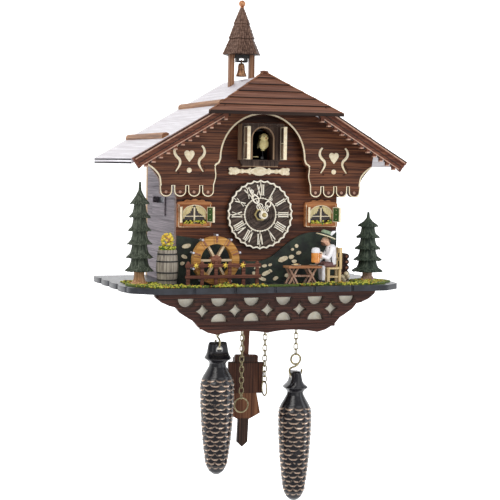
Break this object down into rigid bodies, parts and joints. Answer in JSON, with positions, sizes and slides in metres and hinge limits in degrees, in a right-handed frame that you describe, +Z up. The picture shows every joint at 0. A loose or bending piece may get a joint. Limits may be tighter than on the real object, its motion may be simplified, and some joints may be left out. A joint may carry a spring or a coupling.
{
  "type": "cuckoo clock",
  "caption": "Chalet-shaped battery wall clock with a calling bird behind small doors, a hanging pendulum, fir-cone weights on chains and a yard with a water wheel.",
  "frame": {"origin": "centre of the nail hole in the hanger plate, on the plane of the room wall", "axes": "+X to the right seen from the front, +Y into the room wall, +Z up; the front faces -Y"},
  "size_m": [0.304, 0.1751, 0.5408],
  "materials": {
    "case_wood": "brushed stain with light edges, satin",
    "barge_wood": "stained, satin",
    "grey_siding": "painted, matte",
    "roof_wood": "greyed board with fine saw lines, satin",
    "hip_wood": "stained boards, satin",
    "log_wood": "stained round sticks, satin",
    "tower_shingle": "cut shingles, matte",
    "deck_paint": "dark gloss paint",
    "panel_board": "plain plywood, matte",
    "yard_green": "painted with flock, matte",
    "fir_paint": "turned and painted, matte",
    "barrel_paint": "painted, matte",
    "dial_wood": "turned and stained dark, satin",
    "ivory_plastic": "moulded, satin",
    "doorway_wood": "stained dark, satin",
    "bird_paint": "painted, satin",
    "wheel_wood": "stained, satin",
    "fence_wood": "stained, satin",
    "window_paint": "painted, satin",
    "figure_paint": "hand painted, satin",
    "furniture_wood": "stained, satin",
    "black_plastic": "moulded, fine grain",
    "speaker_metal": "pressed steel, matte paint",
    "cell_jacket": "printed shrink jacket",
    "steel": "zinc plated",
    "dark_brass": "aged",
    "chain_brass": "aged, pale",
    "cone_plastic": "black gloss with gilt scale edges",
    "pendulum_wood": "stained, satin"
  },
  "bodies": {
    "case": {"apron": "case_wood", "apron_backing": "panel_board", "back_board": "panel_board", "barge_boards": "barge_wood", "batteries": "cell_jacket", "battery_holder": "black_plastic", "bell_hanger": "dark_brass", "chain_eyes": "dark_brass", "cuckoo_surround": "doorway_wood", "cuckoo_unit": "black_plastic", "deck": "deck_paint", "dial_disc": "dial_wood", "doorway_trim": "ivory_plastic", "drinker": "figure_paint", "fence": "fence_wood", "fir_trees": "fir_paint", "flower_barrel": "barrel_paint", "front_wall": "case_wood", "gable_board": "case_wood", "hanger_plate": "steel", "hip_roof": "hip_wood", "left_roof": "roof_wood", "log_pile": "log_wood", "loudspeaker": "speaker_metal", "moss": "yard_green", "movement_nut": "steel", "numeral_ring": "ivory_plastic", "pendulum_drive": "black_plastic", "quartz_movement": "black_plastic", "right_roof": "roof_wood", "roof_logs": "log_wood", "side_walls": "grey_siding", "sound_frames": "grey_siding", "stone_footing": "yard_green", "switch_box": "black_plastic", "table_and_chair": "furniture_wood", "tower_posts": "log_wood", "tower_roof": "tower_shingle", "wheel_motor": "black_plastic", "windows": "window_paint"},
    "minute": {"minute_hand": "ivory_plastic", "minute_arbor": "steel"},
    "hour": {"hour_hand": "ivory_plastic"},
    "knob": {"setting_knob": "black_plastic"},
    "bird": {"cuckoo_bird": "bird_paint"},
    "left_door": {"left_cuckoo_door": "doorway_wood"},
    "right_door": {"right_cuckoo_door": "doorway_wood"},
    "wheel": {"mill_wheel": "wheel_wood"},
    "arm": {"drinker_arm": "figure_paint"},
    "pendulum": {"pendulum_rod": "pendulum_wood", "pendulum_bob": "pendulum_wood"},
    "left_chain": {"left_weight_chain": "chain_brass"},
    "left_cone": {"left_weight": "cone_plastic"},
    "right_chain": {"right_weight_chain": "chain_brass"},
    "right_cone": {"right_weight": "cone_plastic"},
    "left_pull": {"left_pull_chain": "chain_brass"},
    "right_pull": {"right_pull_chain": "chain_brass"},
    "hanging_bell": {"bell": "dark_brass"},
    "rear_door": {"back_door": "panel_board"},
    "mode_slider": {"mode_switch": "black_plastic"}
  },
  "joints": [
    {"name": "minute_turn", "type": "hinge", "parent": "case", "child": "minute", "pos_m": [0, -0.1365, -0.1], "axis": [0, 1, 0], "continuous": true},
    {"name": "hour_turn", "type": "hinge", "parent": "case", "child": "hour", "pos_m": [0, -0.132, -0.1], "axis": [0, 1, 0], "continuous": true},
    {"name": "knob_turn", "type": "hinge", "parent": "case", "child": "knob", "pos_m": [0, -0.094, -0.114], "axis": [0, 1, 0], "continuous": true},
    {"name": "bird_slide", "type": "slide", "parent": "case", "child": "bird", "axis": [0, 1, 0], "range_m": [0, 0.03]},
    {"name": "left_door_hinge", "type": "hinge", "parent": "case", "child": "left_door", "pos_m": [-0.0204, -0.1319, -0.0422], "axis": [0, 0, 1], "range_deg": [0, 98]},
    {"name": "right_door_hinge", "type": "hinge", "parent": "case", "child": "right_door", "pos_m": [0.0204, -0.1319, -0.0422], "axis": [0, 0, 1], "range_deg": [-80, 0]},
    {"name": "wheel_turn", "type": "hinge", "parent": "case", "child": "wheel", "pos_m": [-0.0535, -0.1336, -0.1468], "axis": [0, 1, 0], "continuous": true},
    {"name": "arm_lift", "type": "hinge", "parent": "case", "child": "arm", "pos_m": [0.074, -0.145, -0.136], "axis": [0, 1, 0], "range_deg": [0, 30]},
    {"name": "pendulum_swing", "type": "hinge", "parent": "case", "child": "pendulum", "pos_m": [0, -0.0935, -0.162], "axis": [0, 1, 0], "range_deg": [-7.2, 2.8]},
    {"name": "left_chain_swing", "type": "hinge", "parent": "case", "child": "left_chain", "pos_m": [-0.0443, -0.1216, -0.1813], "axis": [1, 0, 0], "range_deg": [-10, 1]},
    {"name": "left_cone_sway", "type": "hinge", "parent": "left_chain", "child": "left_cone", "pos_m": [-0.0443, -0.1216, -0.2411], "axis": [0, 1, 0], "range_deg": [-3, 3]},
    {"name": "right_chain_swing", "type": "hinge", "parent": "case", "child": "right_chain", "pos_m": [0.0443, -0.1216, -0.1813], "axis": [1, 0, 0], "range_deg": [-10, 1]},
    {"name": "right_cone_sway", "type": "hinge", "parent": "right_chain", "child": "right_cone", "pos_m": [0.0443, -0.1216, -0.275], "axis": [0, 1, 0], "range_deg": [-3, 3]},
    {"name": "left_pull_swing", "type": "hinge", "parent": "case", "child": "left_pull", "pos_m": [-0.0131, -0.11, -0.1833], "axis": [1, 0, 0], "range_deg": [-10, 1]},
    {"name": "right_pull_swing", "type": "hinge", "parent": "case", "child": "right_pull", "pos_m": [0.0131, -0.11, -0.1833], "axis": [1, 0, 0], "range_deg": [-10, 1]},
    {"name": "bell_swing", "type": "hinge", "parent": "case", "child": "hanging_bell", "pos_m": [0, -0.058, 0.065], "axis": [1, 0, 0], "range_deg": [-12, 12]},
    {"name": "rear_door_hinge", "type": "hinge", "parent": "case", "child": "rear_door", "pos_m": [-0.06, 0, -0.1], "axis": [0, 0, 1], "range_deg": [0, 100]},
    {"name": "mode_slide", "type": "slide", "parent": "case", "child": "mode_slider", "axis": [1, 0, 0], "range_m": [-0.0045, 0.0045]}
  ],
  "couplings": [
    {"joint": "minute_turn", "follows": "knob_turn", "ratio": -0.33333},
    {"joint": "hour_turn", "follows": "knob_turn", "ratio": -0.027778},
    {"joint": "left_door_hinge", "follows": "bird_slide", "rad_per_m": 57.008},
    {"joint": "right_door_hinge", "follows": "bird_slide", "rad_per_m": -46.536}
  ]
}
